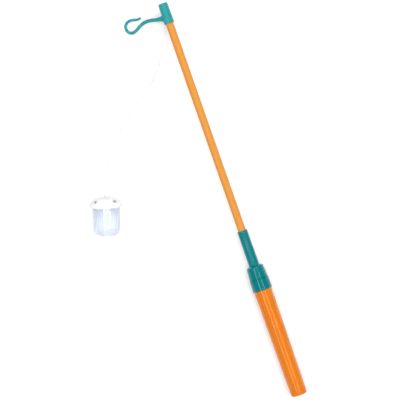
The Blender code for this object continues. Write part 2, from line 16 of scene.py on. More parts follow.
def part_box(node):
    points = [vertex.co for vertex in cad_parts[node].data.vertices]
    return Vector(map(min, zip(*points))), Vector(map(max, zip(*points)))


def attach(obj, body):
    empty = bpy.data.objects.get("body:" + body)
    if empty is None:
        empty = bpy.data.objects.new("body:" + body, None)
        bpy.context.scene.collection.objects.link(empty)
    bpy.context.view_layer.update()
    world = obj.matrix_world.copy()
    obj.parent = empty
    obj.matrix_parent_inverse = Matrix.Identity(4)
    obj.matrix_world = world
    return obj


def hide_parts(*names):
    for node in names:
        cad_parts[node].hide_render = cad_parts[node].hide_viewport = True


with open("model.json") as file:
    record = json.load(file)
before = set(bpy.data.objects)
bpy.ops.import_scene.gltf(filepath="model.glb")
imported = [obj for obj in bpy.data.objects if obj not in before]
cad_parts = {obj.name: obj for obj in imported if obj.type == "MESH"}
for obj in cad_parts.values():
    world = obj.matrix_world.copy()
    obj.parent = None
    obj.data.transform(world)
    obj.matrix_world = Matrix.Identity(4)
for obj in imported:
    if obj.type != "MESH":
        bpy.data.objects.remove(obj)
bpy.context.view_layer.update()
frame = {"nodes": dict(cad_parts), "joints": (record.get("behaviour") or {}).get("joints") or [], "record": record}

# Everything is in metres.
GAP = 0.0003
TURN_STEPS = 128
SMALL_TURN_STEPS = 64
GLOBE_TURN_STEPS = 288
FILLET_STEPS = 5
ARC_STEPS = 18
DOME_STEPS = 28
SUPPORT = 0.0003
CUTTER_OVERLAP = 0.0010
CORNER_SHARE = 0.45
MERGE_DISTANCE = 1e-7
SHARP_ANGLE = math.radians(40)
RING_DIGITS = 5
HEIGHT_TOLERANCE = 1e-9

# How far edges are rounded, from the crispest to the fullest.
KEEN = 0.0001
CRISP = 0.0002
EASED = 0.0003
BLUNT = 0.0004
SOFT = 0.0005
ROUND = 0.0006
FULL = 0.0010

# The free lead, from the notch under the tip cap to the inside of the lamp's cap.
CORD_ROUTE = [
    (0.0651, 0.2038, 0.01425),
    (0.0646, 0.2015, 0.01385),
    (0.0606, 0.1931, 0.01180),
    (0.0543, 0.1812, 0.00820),
    (0.0445, 0.1660, 0.00410),
    (0.0306, 0.1510, 0.00150),
    (0.0117, 0.1370, 0.00110),
    (-0.0071, 0.1230, 0.00115),
    (-0.0248, 0.1078, 0.00190),
    (-0.0393, 0.0900, 0.00540),
    (-0.0486, 0.0724, 0.01280),
    (-0.0538, 0.0603, 0.01840),
    (-0.0564, 0.0519, 0.01940),
    (-0.0576, 0.0481, 0.01889),
    (-0.0589, 0.0438, 0.01842),
]
CORD_DIAMETER = 0.0020
CORD_CURVE_STEPS = 24
CORD_STEP = 0.0012
CORD_BEVEL_STEPS = 6

# The tip cap's notch and the tube's slot, where the lead comes out.
NOTCH_WIDTH = 0.0029
NOTCH_ROUNDING = 0.0011

# The hook, as its reach over the table from the stick's axis, its distance below the top of the
# cap, and its thickness there.
HOOK_ROUTE = [
    (0.0030, 0.0156, 0.0062),
    (0.0077, 0.0149, 0.0053),
    (0.0130, 0.0138, 0.0043),
    (0.0189, 0.0123, 0.0040),
    (0.0240, 0.0118, 0.0039),
    (0.0280, 0.0126, 0.0037),
    (0.0318, 0.0141, 0.0036),
    (0.0355, 0.0161, 0.0035),
    (0.0390, 0.0176, 0.0035),
    (0.0426, 0.0177, 0.0034),
    (0.0455, 0.0158, 0.0034),
    (0.0470, 0.0126, 0.0033),
    (0.0469, 0.0088, 0.0032),
    (0.0447, 0.0057, 0.0031),
    (0.0412, 0.0042, 0.0030),
    (0.0374, 0.0045, 0.0030),
    (0.0338, 0.0056, 0.0029),
    (0.0308, 0.0060, 0.0028),
    (0.0288, 0.0057, 0.0026),
]
HOOK_DEPTH_RATIO = 1.05
HOOK_FILLET = 0.0026
HOOK_CURVE_STEPS = 8
HOOK_SIDES = 32
HOOK_END_RINGS = 6
HOOK_LOOP_START = 0.030

# The chamfer that the CAD has where the tip cap is rounded here, and the sunk spot that the
# mould's gate leaves in the handle's end.
TIP_CHAMFER = 0.0005
GATE_RADIUS = 0.0012
GATE_DEPTH = 0.0003

# The lamp.
DOME_HEIGHT = 0.0092
DOME_FLATNESS = 2.6
DOME_FALL = 2.0
WINDOW_COUNT = 4
WINDOW_TURN = math.radians(45)
WINDOW_DISTANCE = 0.0044
WINDOW_WIDTH = 0.0054
WINDOW_HEIGHT = 0.0024
WINDOW_ROUNDING = 0.0008
GLOBE_CORNER = 0.0100
FLUTE_COUNT = 36
FLUTE_DEPTH = 0.0003

# Inside the LED: what each post spans across, how far past the flange both reach, and the bowl
# on top of the wider one, as corners from its foot.
LED_POSTS = {"led_anvil": (-0.0011, 0.0001), "led_post": (0.0004, 0.0009)}
LED_POST_DEPTH = 0.0004
LED_POST_REACH = 0.0021
LED_BOWL_PLACE = -0.0005
LED_BOWL = [
    (0, 0, 0),
    (0.0004, 0, 0),
    (0.0007, 0.0006, KEEN),
    (0.0006, 0.0006, 0),
    (0.0003, 0.0002, 0),
    (0, 0.0002, 0),
]

# A cell: its crimp and colour band as shares of its radius and length, and its sunk ends.
CELL_CRIMP_SHARE = 0.68
CELL_BAND_SHARE = 0.68
CELL_RECESS = 0.0002
CELL_ROUNDING = 0.0007

# Colours, and how far each of red, green and blue spreads under an orange surface.
TEAL = (0.0, 0.138, 0.147)
TIP_TEAL = (0.014, 0.222, 0.226)
HANDLE_ORANGE = (0.545, 0.142, 0.006)
TUBE_ORANGE = (0.520, 0.205, 0.026)
WHITE = (0.660, 0.675, 0.680)
BLACK = (0.022, 0.022, 0.024)
CLEAR_TINT = (0.83, 0.85, 0.89)
LENS_TINT = (0.97, 0.97, 0.93)
SHEATH_WHITE = (0.64, 0.64, 0.63)
NICKEL = (0.66, 0.63, 0.58)
BRASS = (0.78, 0.55, 0.22)
CELL_BLUE = (0.030, 0.090, 0.220)
CELL_SILVER = (0.58, 0.60, 0.62)
FLOOR_GREY = (0.80, 0.80, 0.80)
HANDLE_BLEED = (1.0, 0.3, 0.08)
TUBE_BLEED = (1.0, 0.45, 0.15)

PLASTIC = {"IOR": 1.46, "Specular_IOR_Level": 0.4}
PARTING_WIDTH = 0.00012

# The studio: each light's name, place, sides, power, and whether it shows in the gloss.
FLOOR_SIZE = 3.0
WORLD_STRENGTH = 0.1
LIGHTS = [
    ("overhead_box", (0.10, 0.0, 1.5), (0.9, 1.6), 16.0, False),
    ("right_box", (1.1, 0.0, 1.0), (1.2, 1.6), 13.0, False),
    ("left_box", (-1.1, 0.0, 1.0), (1.2, 1.6), 10.0, False),
    ("right_strip", (0.55, 0.0, 1.15), (0.05, 1.6), 4.5, True),
    ("left_strip", (-0.42, 0.0, 1.15), (0.05, 1.6), 5.5, True),
    ("far_strip", (0.10, 1.05, 1.0), (0.14, 1.2), 3.0, True),
]

# The camera looks straight down and is turned, so that the stick leans in the picture.
CAMERA_PLACE = (0.0390, 0.0107, 1.4025)
CAMERA_TURN = math.radians(-19.32)
CAMERA_LENS = 113.7


# ---------------------------------------------------------------- the frame's sizes


def named(items, name):
    return next(item for item in items if item["name"] == name)


def axis_frame(origin, along, side):
    """A frame whose Z runs along an axis, and whose X lies as near to side as it can."""
    z = Vector(along).normalized()
    x = (Vector(side) - Vector(side).dot(z) * z).normalized()
    turn = Matrix((x, z.cross(x), z)).transposed().to_4x4()
    return Matrix.Translation(origin) @ turn


class Profile:
    """A turned CAD node's heights along an axis, and its radii there."""

    def __init__(self, node, axis):
        inverse = axis.inverted()
        rings = {}
        for vertex in frame["nodes"][node].data.vertices:
            place = inverse @ vertex.co
            radius = math.hypot(place.x, place.y)
            rings.setdefault(round(place.z, RING_DIGITS), []).append(radius)
        self.heights = sorted(rings)
        self.rings = rings
        self.low = self.heights[0]
        self.high = self.heights[-1]

    def _radius(self, height, pick):
        heights = self.heights
        height = min(max(height, heights[0]), heights[-1])
        above = next(i for i, h in enumerate(heights) if h >= height - HEIGHT_TOLERANCE)
        after = pick(self.rings[heights[above]])
        if above == 0 or heights[above] - height < HEIGHT_TOLERANCE:
            return after
        before = pick(self.rings[heights[above - 1]])
        share = (height - heights[above - 1]) / (heights[above] - heights[above - 1])
        return before + share * (after - before)

    def outer(self, height):
        return self._radius(height, max)

    def inner(self, height):
        return self._radius(height, min)


def stick_frame():
    """The stick's axis: Z from the handle's end to the tip, X to the side."""
    end = named(frame["record"]["mounts"], "handle_end")
    return axis_frame(end["pos_m"], -Vector(end["axis"]), (1, 0, 0))


def tip_frame(stick):
    """The stick's axis turned until X points the way the hook's loop does."""
    inverse = stick.inverted()
    places = [inverse @ vertex.co for vertex in frame["nodes"]["tip_hook_cap"].data.vertices]
    loop = [place for place in places if math.hypot(place.x, place.y) > HOOK_LOOP_START]
    middle = sum(loop, Vector()) / len(loop)
    return stick @ Matrix.Rotation(math.atan2(middle.y, middle.x), 4, "Z")


def lamp_frame():
    """The lamp's axis: Z from the top of its cap to the foot of its globe, Y up."""
    low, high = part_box("lamp_holder")
    along = Vector(named(frame["joints"], "globe_pull")["axis"])
    centred = axis_frame((low + high) / 2, along, Vector((0, 0, 1)).cross(along))
    return centred @ Matrix.Translation((0, 0, Profile("lamp_cap", centred).low))


STICK = stick_frame()
TIP = tip_frame(STICK)
LAMP = lamp_frame()


# ---------------------------------------------------------------- making pieces


def piece_from(name, bm, axis):
    """A piece from a bmesh made round an axis; its place goes into its mesh."""
    bmesh.ops.transform(bm, matrix=axis, verts=bm.verts)
    bmesh.ops.recalc_face_normals(bm, faces=bm.faces)
    mesh = bpy.data.meshes.new(name)
    bm.to_mesh(mesh)
    bm.free()
    mesh.shade_smooth()
    mesh.set_sharp_from_angle(angle=SHARP_ANGLE)
    piece = bpy.data.objects.new(name, mesh)
    bpy.context.scene.collection.objects.link(piece)
    return piece


def arc(centre_radius, centre_height, size, start, end):
    """Unrounded corners (radius, height, 0) on a round stretch, angles in degrees."""
    turns = [start + (end - start) * i / ARC_STEPS for i in range(ARC_STEPS + 1)]
    angles = [math.radians(turn) for turn in turns]
    return [
        (centre_radius + size * math.cos(a), centre_height + size * math.sin(a), 0)
        for a in angles
    ]


def rounded(corners):
    """A closed outline of (radius, height) points from corners (radius, height, rounding)."""
    points = []
    for i, (radius, height, rounding) in enumerate(corners):
        here = Vector((radius, height))
        if not rounding:
            points.append(here)
            continue
        before = Vector(corners[i - 1][:2]) - here
        after = Vector(corners[(i + 1) % len(corners)][:2]) - here
        half = before.angle(after) / 2
        most = CORNER_SHARE * min(before.length, after.length)
        reach = min(rounding / math.tan(half), most)
        size = reach * math.tan(half)
        middle = (before.normalized() + after.normalized()).normalized()
        centre = here + middle * (size / math.sin(half))
        start = (here + before.normalized() * reach - centre).normalized()
        end = (here + after.normalized() * reach - centre).normalized()
        for k in range(FILLET_STEPS + 1):
            points.append(centre + size * start.slerp(end, k / FILLET_STEPS))
    return points


def supported(points):
    """Adds a point near each end of a long stretch, so that its rounding shades only its end."""
    outline = []
    for here, after in zip(points, points[1:] + points[:1]):
        outline.append(here)
        stretch = after - here
        if stretch.length > 4 * SUPPORT:
            step = stretch.normalized() * SUPPORT
            outline += [here + step, after - step]
    return outline


def turned(name, corners, axis, steps=TURN_STEPS):
    """A solid of revolution from an outline's corners, each with its rounding."""
    outline = supported(rounded(corners))
    bm = bmesh.new()
    points = [bm.verts.new((max(point.x, 0), 0, point.y)) for point in outline]
    edges = [
        bm.edges.new((points[i], points[(i + 1) % len(points)])) for i in range(len(points))
    ]
    bmesh.ops.spin(
        bm,
        geom=points + edges,
        cent=(0, 0, 0),
        axis=(0, 0, 1),
        angle=2 * math.pi,
        steps=steps,
        use_merge=True,
        use_duplicate=False,
    )
    bmesh.ops.remove_doubles(bm, verts=bm.verts, dist=MERGE_DISTANCE)
    bmesh.ops.dissolve_degenerate(bm, edges=bm.edges, dist=MERGE_DISTANCE)
    return piece_from(name, bm, axis)


def block(name, low, high, rounding, axis):
    """A block between two corners, with its edges rounded."""
    low, high = Vector(low), Vector(high)
    bm = bmesh.new()
    bmesh.ops.create_cube(bm, size=1.0)
    bmesh.ops.scale(bm, vec=high - low, verts=bm.verts)
    bmesh.ops.translate(bm, vec=(high + low) / 2, verts=bm.verts)
    bmesh.ops.bevel(
        bm, geom=bm.edges, offset=rounding, segments=FILLET_STEPS, affect="EDGES", profile=0.5
    )
    return piece_from(name, bm, axis)


def combine(piece, tools, operation):
    """Cuts tools out of a piece, or joins them on, and applies that."""
    for tool in tools:
        modifier = piece.modifiers.new(tool.name, "BOOLEAN")
        modifier.operation = operation
        modifier.object = tool
        modifier.solver = "EXACT"
    bpy.context.view_layer.update()
    graph = bpy.context.evaluated_depsgraph_get()
    mesh = bpy.data.meshes.new_from_object(piece.evaluated_get(graph))
    piece.modifiers.clear()
    piece.data = mesh
    for tool in tools:
        bpy.data.objects.remove(tool, do_unlink=True)
    mesh.shade_smooth()
    mesh.set_sharp_from_angle(angle=SHARP_ANGLE)


def smooth_route(points, steps):
    """A Catmull-Rom curve through every point, with this many steps between two of them."""
    route = [Vector(point) for point in points]
    route = [2 * route[0] - route[1], *route, 2 * route[-1] - route[-2]]
    curve = []
    for before, start, end, after in zip(route, route[1:], route[2:], route[3:]):
        for i in range(steps):
            t = i / steps
            curve.append(
                0.5
                * (
                    2 * start
                    + (end - before) * t
                    + (2 * before - 5 * start + 4 * end - after) * t**2
                    + (3 * start - before - 3 * end + after) * t**3
                )
            )
    curve.append(route[-2])
    return curve


def evenly_spaced(curve, step):
    """Points on a curve at one even spacing, close to the step asked for."""
    lengths = [0.0]
    for start, end in zip(curve, curve[1:]):
        lengths.append(lengths[-1] + (end - start).length)
    count = round(lengths[-1] / step)
    spaced = []
    i = 0
    for k in range(count + 1):
        target = lengths[-1] * k / count
        while i < len(curve) - 2 and lengths[i + 1] < target:
            i += 1
        share = (target - lengths[i]) / (lengths[i + 1] - lengths[i])
        spaced.append(curve[i].lerp(curve[i + 1], min(1.0, share)))
    return spaced


def dress(piece, material, body, slot, *nodes):
    """Gives a piece its material, its body and the CAD nodes it stands for; the slot is not used."""
    piece.data.materials.clear()
    piece.data.materials.append(material)
    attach(piece, body)
    if nodes:
        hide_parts(*nodes)


# ---------------------------------------------------------------- materials


class Finish:
    """A Principled material whose node tree is written in short steps."""

    def __init__(self, name, axis=Matrix.Identity(4)):
        self.material = bpy.data.materials.new(name)
        self.material.use_nodes = True
        self.tree = self.material.node_tree
        self.shader = self.tree.nodes["Principled BSDF"]
        self.axis = axis

    def node(self, kind, **settings):
        node = self.tree.nodes.new(kind)
        for key, value in settings.items():
            setattr(node, key, value)
        return node

    def feed(self, socket, value):
        if isinstance(value, bpy.types.NodeSocket):
            self.tree.links.new(value, socket)
        else:
            socket.default_value = value

    def link(self, **values):
        """Feeds the shader's patterned sockets."""
        for key, value in values.items():
            self.feed(self.shader.inputs[key.replace("_", " ")], value)

    def fix(self, **values):
        """Sets the shader's even sockets."""
        for key, value in values.items():
            self.shader.inputs[key.replace("_", " ")].default_value = value

    def place(self, pull=1):
        """Coordinates round the piece's axis, in which patterns are pulled out along it."""
        coordinates = self.node("ShaderNodeTexCoord").outputs["Object"]
        mapping = self.node("ShaderNodeMapping", vector_type="TEXTURE")
        self.feed(mapping.inputs["Vector"], coordinates)
        mapping.inputs["Location"].default_value = self.axis.translation
        mapping.inputs["Rotation"].default_value = self.axis.to_euler()
        mapping.inputs["Scale"].default_value = (1, 1, pull)
        return mapping.outputs["Vector"]

    def noise(self, size, pull=1, detail=3.0, roughness=0.5):
        """Noise whose blotches are about this size, pulled out along the axis."""
        node = self.node("ShaderNodeTexNoise")
        self.feed(node.inputs["Vector"], self.place(pull))
        node.inputs["Scale"].default_value = 1 / size
        node.inputs["Detail"].default_value = detail
        node.inputs["Roughness"].default_value = roughness
        return node.outputs["Fac"]

    def span(self, value, low, high, start=0.3, end=0.7):
        """The value from start to end, spread from low to high."""
        node = self.node("ShaderNodeMapRange")
        self.feed(node.inputs["Value"], value)
        node.inputs["From Min"].default_value = start
        node.inputs["From Max"].default_value = end
        node.inputs["To Min"].default_value = low
        node.inputs["To Max"].default_value = high
        return node.outputs["Result"]

    def calculate(self, operation, first, second=0.0):
        node = self.node("ShaderNodeMath", operation=operation)
        self.feed(node.inputs[0], first)
        self.feed(node.inputs[1], second)
        return node.outputs[0]

    def mix(self, share, first, second):
        node = self.node("ShaderNodeMix", data_type="RGBA")
        for socket, value in zip((0, 6, 7), (share, first, second)):
            self.feed(node.inputs[socket], value)
        return node.outputs[2]

    def bump(self, height, depth, after=None):
        """A normal from a height that runs from 0 to 1 over this depth."""
        node = self.node("ShaderNodeBump")
        self.feed(node.inputs["Height"], height)
        node.inputs["Distance"].default_value = depth
        if after is not None:
            self.feed(node.inputs["Normal"], after)
        return node.outputs["Normal"]

    def let_lamps_through(self, tint):
        """Lets light fall through clear plastic on to what is behind it."""
        clear = self.node("ShaderNodeBsdfTransparent")
        clear.inputs["Color"].default_value = tint
        path = self.node("ShaderNodeLightPath")
        mix = self.node("ShaderNodeMixShader")
        self.feed(mix.inputs[0], path.outputs["Is Shadow Ray"])
        self.feed(mix.inputs[1], self.shader.outputs["BSDF"])
        self.feed(mix.inputs[2], clear.outputs["BSDF"])
        output = self.tree.nodes["Material Output"]
        self.feed(output.inputs["Surface"], mix.outputs["Shader"])


def shade(colour, factor=1.0):
    return (*[min(1.0, channel * factor) for channel in colour], 1.0)


def scuffed(finish, tone, pale):
    """The tone with a few small paler scuffs."""
    scuffs = finish.noise(0.0025, pull=3, detail=5.0, roughness=0.7)
    return finish.mix(finish.span(scuffs, 0, 0.4, start=0.66, end=0.76), tone, pale)


def parting_line(finish):
    """1 on the two lines where the mould's halves met, and 0 away from them."""
    across = finish.node("ShaderNodeSeparateXYZ")
    finish.feed(across.inputs[0], finish.place())
    off = finish.calculate("ABSOLUTE", across.outputs["X"])
    return finish.span(off, 1.0, 0.0, start=0.0, end=PARTING_WIDTH)


def moulded(name, colour, axis, gloss, streak=0.07, glow=0.05, bleed=(1, 1, 1), line=True):
    """Glossy moulded plastic: flow streaks, clouded pigment, pale scuffs, a faint orange peel,
    fine scratches from handling, and the mould's parting line."""
    finish = Finish(name, axis)
    flow = finish.noise(0.004, pull=7, detail=4.0, roughness=0.55)
    clouds = finish.noise(0.022, detail=2.0)
    tone = finish.mix(
        finish.span(flow, 0, 1), shade(colour, 1 - streak), shade(colour, 1 + streak)
    )
    tone = finish.mix(finish.span(clouds, 0, 0.35), tone, shade(colour, 1 - 2 * streak))
    pale = (*[0.93 * channel + 0.05 for channel in colour], 1.0)
    finish.link(Base_Color=scuffed(finish, tone, pale))
    scratches = finish.noise(0.0006, pull=14, detail=5.0, roughness=0.65)
    smears = finish.noise(0.008, detail=4.0, roughness=0.6)
    scratched = finish.span(scratches, gloss, gloss + 0.1, start=0.56, end=0.7)
    finish.link(Roughness=finish.calculate("ADD", scratched, finish.span(smears, 0, 0.1)))
    normal = finish.bump(finish.noise(0.0011, detail=1.0), depth=0.000003)
    normal = finish.bump(scratches, depth=0.000002, after=normal)
    if line:
        normal = finish.bump(parting_line(finish), depth=0.00003, after=normal)
    finish.link(Normal=normal)
    finish.fix(**PLASTIC)
    finish.fix(Subsurface_Weight=glow, Subsurface_Radius=bleed, Subsurface_Scale=0.001)
    return finish.material


def extruded(name, colour, axis):
    """Drawn tube: fine die lines run its whole length, and its tone drifts slowly along it."""
    finish = Finish(name, axis)
    lines = finish.noise(0.0009, pull=120, detail=4.0, roughness=0.6)
    drift = finish.noise(0.03, pull=2)
    tone = finish.mix(finish.span(lines, 0, 1), shade(colour, 0.93), shade(colour, 1.05))
    tone = finish.mix(finish.span(drift, 0, 0.5), tone, shade(colour, 0.93))
    finish.link(Base_Color=tone)
    smears = finish.noise(0.006, pull=8, detail=4.0, roughness=0.6)
    finish.link(Roughness=finish.span(smears, 0.22, 0.32))
    normal = finish.bump(lines, depth=0.000003)
    finish.link(Normal=finish.bump(smears, depth=0.000002, after=normal))
    finish.fix(**PLASTIC)
    finish.fix(Subsurface_Weight=0.12, Subsurface_Radius=TUBE_BLEED, Subsurface_Scale=0.0012)
    return finish.material


def clear_moulded(name, colour, axis, gloss, through):
    """Clear plastic with a cool tint, faint flow lines and a few fine scratches."""
    finish = Finish(name, axis)
    flow = finish.noise(0.005, pull=5)
    tone = finish.mix(finish.span(flow, 0, 1), shade(colour, 0.97), shade(colour))
    finish.link(Base_Color=tone)
    scratches = finish.noise(0.0008, pull=5, detail=5.0, roughness=0.65)
    finish.link(Roughness=finish.span(scratches, gloss, gloss + 0.1, start=0.58, end=0.75))
    finish.link(Normal=finish.bump(flow, depth=0.00004))
    finish.fix(IOR=PLASTIC["IOR"], Transmission_Weight=through)
    finish.let_lamps_through(shade(colour))
    return finish.material


def sheathed(name, colour):
    """The lead's soft sheath: matt, slightly grubby, with the fine grain of its extrusion."""
    finish = Finish(name)
    grub = finish.noise(0.006, detail=4.0, roughness=0.6)
    tone = finish.mix(finish.span(grub, 0, 0.6), shade(colour), shade(colour, 0.86))
    finish.link(Base_Color=tone, Roughness=finish.span(grub, 0.4, 0.58))
    finish.link(Normal=finish.bump(finish.noise(0.0005), depth=0.00001))
    finish.fix(Subsurface_Weight=0.15, Subsurface_Scale=0.0008)
    return finish.material


def metal(name, colour, axis, gloss):
    """Plated or bare metal, with drawing lines, dull patches and small specks of tarnish."""
    finish = Finish(name, axis)
    lines = finish.noise(0.0004, pull=10, detail=4.0, roughness=0.6)
    tarnish = finish.noise(0.0025, detail=5.0, roughness=0.7)
    specks = finish.span(tarnish, 0, 0.7, start=0.5, end=0.8)
    finish.link(Base_Color=finish.mix(specks, shade(colour), shade(colour, 0.55)))
    dull = finish.span(tarnish, gloss, gloss + 0.2)
    finish.link(Roughness=finish.calculate("ADD", finish.span(lines, 0, 0.12), dull))
    finish.link(Normal=finish.bump(lines, depth=0.000004))
    finish.fix(Metallic=1.0)
    return finish.material


def cell_jacket(name, colour, axis, band):
    """A cell's jacket: plain foil in two colours that meet in a line round it."""
    finish = Finish(name, axis)
    height = finish.node("ShaderNodeSeparateXYZ")
    finish.feed(height.inputs[0], finish.place())
    upper = finish.calculate("GREATER_THAN", height.outputs["Z"], band)
    wear = finish.noise(0.0045, detail=4.0, roughness=0.6)
    tone = finish.mix(upper, shade(colour), shade(CELL_SILVER))
    tone = finish.mix(finish.span(wear, 0, 0.3), tone, shade(colour, 0.6))
    finish.link(Base_Color=tone, Roughness=finish.span(wear, 0.2, 0.38))
    finish.link(Normal=finish.bump(wear, depth=0.000008))
    finish.fix(Coat_Weight=0.3, Coat_Roughness=0.12)
    return finish.material


teal = moulded("teal_plastic", TEAL, STICK, gloss=0.06)
tip_teal = moulded("tip_teal_plastic", TIP_TEAL, TIP, gloss=0.06, line=False)
orange = moulded(
    "handle_orange_plastic", HANDLE_ORANGE, STICK, gloss=0.08, glow=0.08, bleed=HANDLE_BLEED
)
tube_orange = extruded("tube_orange_plastic", TUBE_ORANGE, STICK)
white = moulded("white_plastic", WHITE, LAMP, gloss=0.38, streak=0.02, glow=0.2)
black = moulded("black_plastic", BLACK, STICK, gloss=0.3, streak=0.2, glow=0)
clear = clear_moulded("clear_plastic", CLEAR_TINT, LAMP, gloss=0.02, through=1.0)
lens = clear_moulded("led_lens", LENS_TINT, LAMP, gloss=0.12, through=0.7)
sheath = sheathed("white_sheath", SHEATH_WHITE)
nickel = metal("nickel_plate", NICKEL, STICK, gloss=0.16)
brass = metal("bare_brass", BRASS, STICK, gloss=0.18)


# ---------------------------------------------------------------- camera and cord


def add_camera():
    data = bpy.data.cameras.new("camera")
    data.lens = CAMERA_LENS
    camera = bpy.data.objects.new("camera", data)
    camera.location = CAMERA_PLACE
    camera.rotation_euler = (0, 0, CAMERA_TURN)
    bpy.context.scene.collection.objects.link(camera)
    bpy.context.scene.camera = camera


def add_cord():
    curve = bpy.data.curves.new("lead_to_lamp", "CURVE")
    curve.dimensions = "3D"
    curve.bevel_depth = CORD_DIAMETER / 2
    curve.bevel_resolution = CORD_BEVEL_STEPS
    curve.use_fill_caps = True
    places = evenly_spaced(smooth_route(CORD_ROUTE, CORD_CURVE_STEPS), CORD_STEP)
    spline = curve.splines.new("POLY")
    spline.points.add(len(places) - 1)
    for point, place in zip(spline.points, places):
        point.co = (*place, 1.0)
    spline.use_smooth = True
    cord = bpy.data.objects.new("lead_to_lamp", curve)
    bpy.context.scene.collection.objects.link(cord)
    dress(cord, sheath, "stick", "white_lead", "lamp_cord")


# ---------------------------------------------------------------- stick


def handle():
    """The grip: closed at one end, with a spigot for the ring and the plug at the other."""
    cad = Profile("handle_shell", STICK)
    edge, bore_end, shoulder, top = cad.heights[-4:]
    spigot, bore = cad.outer(top), cad.inner(top)
    corners = [
        (0, GATE_DEPTH, 0),
        (GATE_RADIUS, GATE_DEPTH, KEEN),
        (GATE_RADIUS, 0, KEEN),
        (cad.outer(edge), 0, edge),
        (cad.outer(shoulder - GAP), shoulder, EASED),
        (spigot, shoulder, CRISP),
        (spigot, top, BLUNT),
        (bore, top, EASED),
        (bore, bore_end, ROUND),
        (0, bore_end, 0),
    ]
    dress(turned("handle", corners, STICK), orange, "handle", "orange_handle", "handle_shell")


def switch_ring():
    """The ring that turns: a wide collar with a narrow neck inside the socket."""
    cad = Profile("switch_ring", STICK)
    bottom, step, top, neck_top = cad.heights
    neck = cad.outer(neck_top)
    corners = [
        (cad.inner(bottom), bottom, CRISP),
        (cad.outer(bottom), bottom, SOFT),
        (cad.outer(top), top, EASED),
        (neck, top, CRISP),
        (neck, neck_top, CRISP),
        (cad.inner(neck_top), neck_top, CRISP),
        (cad.inner(neck_top), step, CRISP),
        (cad.inner(bottom), step, CRISP),
    ]
    piece = turned("switch_collar", corners, STICK)
    dress(piece, teal, "switch_ring", "teal_plastic", "switch_ring")


def socket():
    """The skirt and neck between the ring and the tube."""
    cad = Profile("socket", STICK)
    bottom, bore_top, shoulder, edge, shoulder_top, seat, top = cad.heights
    hole, mouth = cad.inner(shoulder), cad.inner(top)
    bore = cad.inner(bottom)
    carrier_bore = cad.inner(bore_top)
    corners = [
        (bore, bottom, CRISP),
        (cad.outer(bottom), bottom, CRISP),
        (cad.outer(shoulder), shoulder, FULL),
        (cad.outer(edge), edge, FULL),
        (cad.outer(shoulder_top), shoulder_top, SOFT),
        (cad.outer(top), top, BLUNT),
        (mouth, top, CRISP),
        (mouth, seat, EASED),
        (hole, seat, CRISP),
        (hole, shoulder, CRISP),
        (carrier_bore, shoulder, CRISP),
        (carrier_bore, bore_top, CRISP),
        (bore, bore_top, CRISP),
    ]
    dress(turned("socket_shell", corners, STICK), teal, "stick", "teal_plastic", "socket")


def tube():
    """The tube, with the slot that the lead leaves by."""
    cad = Profile("stick_tube", STICK)
    bottom, slot_bottom, slot_top, top = cad.heights
    outer, inner = cad.outer(bottom), cad.inner(bottom)
    corners = [
        (inner, bottom, CRISP),
        (outer, bottom, CRISP),
        (outer, top, CRISP),
        (inner, top, CRISP),
    ]
    piece = turned("tube", corners, STICK)
    low = (0, -NOTCH_WIDTH / 2, slot_bottom)
    high = (2 * outer, NOTCH_WIDTH / 2, slot_top)
    combine(piece, [block("tube_slot", low, high, NOTCH_ROUNDING, TIP)], "DIFFERENCE")
    dress(piece, tube_orange, "stick", "orange_tube", "stick_tube")


def oval(bm, centre, across, half_thickness, flare=0.0):
    """One ring of the hook's section, which flares only in the hook's plane, whose normal is Y."""
    ring = []
    for k in range(HOOK_SIDES):
        turn = 2 * math.pi * k / HOOK_SIDES
        side = across * ((half_thickness + flare) * math.cos(turn))
        deep = Vector((0, HOOK_DEPTH_RATIO * half_thickness * math.sin(turn), 0))
        ring.append(bm.verts.new(centre + side + deep))
    return ring


def hook_arm(top, cap_radius):
    """The hook: an oval section swept along its route, flaring into the cap and round-ended."""
    side = TIP.to_3x3() @ Vector((1, 0, 0))
    stretch = 1 / math.hypot(side.x, side.y)
    stations = [(reach * stretch, top - drop, size) for reach, drop, size in HOOK_ROUTE]
    route = smooth_route(stations, HOOK_CURVE_STEPS)
    bm = bmesh.new()
    rings = []
    for i, here in enumerate(route):
        ahead, behind = route[min(i + 1, len(route) - 1)], route[max(i - 1, 0)]
        along = Vector((ahead.x - behind.x, 0, ahead.y - behind.y)).normalized()
        across = Vector((along.z, 0, -along.x))
        near = 1 - min(1.0, max(0.0, here.x - cap_radius) / HOOK_FILLET)
        flare = HOOK_FILLET / 2 * (1 - math.sqrt(1 - near**2))
        rings.append(oval(bm, Vector((here.x, 0, here.y)), across, here.z / 2, flare))
    end = Vector((route[-1].x, 0, route[-1].y))
    end_radius = route[-1].z / 2
    for k in range(1, HOOK_END_RINGS + 1):
        turn = math.pi / 2 * k / (HOOK_END_RINGS + 1)
        centre = end + along * (end_radius * math.sin(turn))
        rings.append(oval(bm, centre, across, end_radius * math.cos(turn)))
    for first, second in zip(rings, rings[1:]):
        for k in range(HOOK_SIDES):
            after = (k + 1) % HOOK_SIDES
            bm.faces.new((first[k], first[after], second[after], second[k]))
    bm.faces.new(rings[0])
    bm.faces.new(rings[-1])
    return piece_from("hook_arm", bm, TIP)


